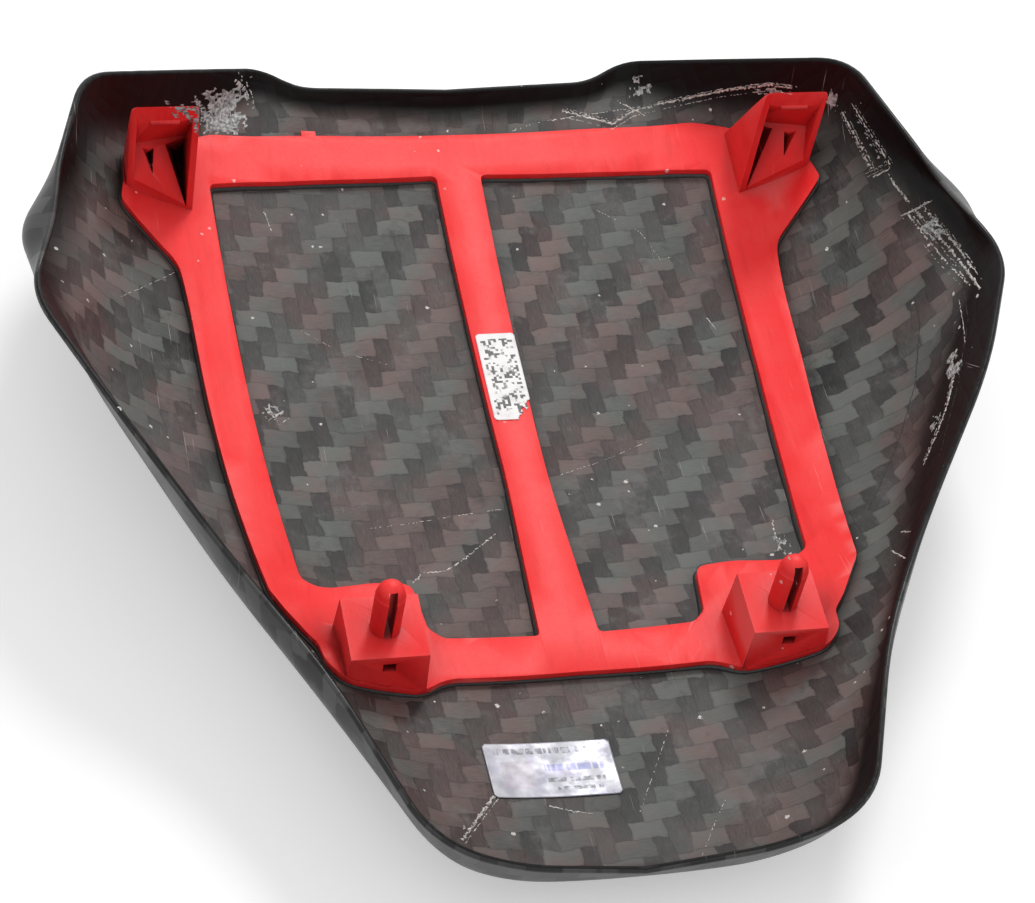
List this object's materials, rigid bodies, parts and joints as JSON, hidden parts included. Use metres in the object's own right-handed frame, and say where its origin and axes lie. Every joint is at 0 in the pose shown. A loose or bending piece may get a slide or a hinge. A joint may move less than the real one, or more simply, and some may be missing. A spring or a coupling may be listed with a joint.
{
  "type": "motorcycle headlight fairing",
  "caption": "Shallow carbon laminate headlight fairing seen from its hollow side, with a bonded red bracket frame that carries hooded sockets and split pins.",
  "frame": {"origin": "on the ground under the middle of the outline, in the mirror plane", "axes": "+X to the right when the inner side is seen with the wide upper edge away from the viewer, +Y towards the wide upper edge, +Z out of the hollow side; the mirror plane is x = 0"},
  "size_m": [0.271, 0.2898, 0.0599],
  "materials": {
    "carbon_laminate": "bare inner side of a 2x2 twill carbon laminate, semi-gloss resin, scuffed",
    "red_moulding": "satin moulded red plastic",
    "white_label": null,
    "silver_label": null
  },
  "bodies": {
    "root": {"laminate_dish": "carbon_laminate", "bracket_frame": "red_moulding", "code_label": "white_label", "data_label": "silver_label"}
  },
  "joints": []
}
